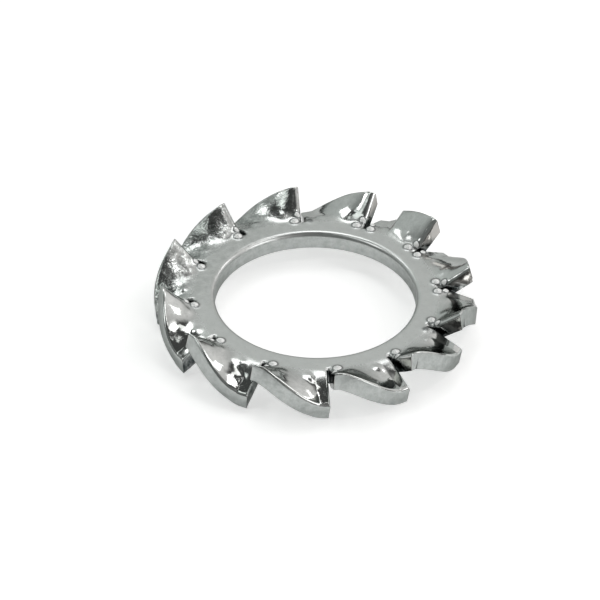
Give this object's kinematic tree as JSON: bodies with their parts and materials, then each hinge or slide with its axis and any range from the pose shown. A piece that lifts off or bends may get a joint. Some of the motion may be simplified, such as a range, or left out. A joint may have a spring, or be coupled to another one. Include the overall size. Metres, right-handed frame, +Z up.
{
  "type": "external-tooth lock washer",
  "caption": "Flat ring with a round bore and an outer rim of twisted, overlapping teeth that bite into a nut and the surface below it.",
  "frame": {"origin": "on the bore axis, halfway through the sheet of the flat ring", "axes": "+Z up along the bore axis, away from the surface it lies on; +X to the right as pictured, +Y away from the viewer"},
  "size_m": [0.0106, 0.0106, 0.0017],
  "materials": {
    "zinc_plate": "bright zinc plate on stamped spring steel"
  },
  "bodies": {
    "root": {"lock_washer": "zinc_plate"}
  },
  "joints": []
}
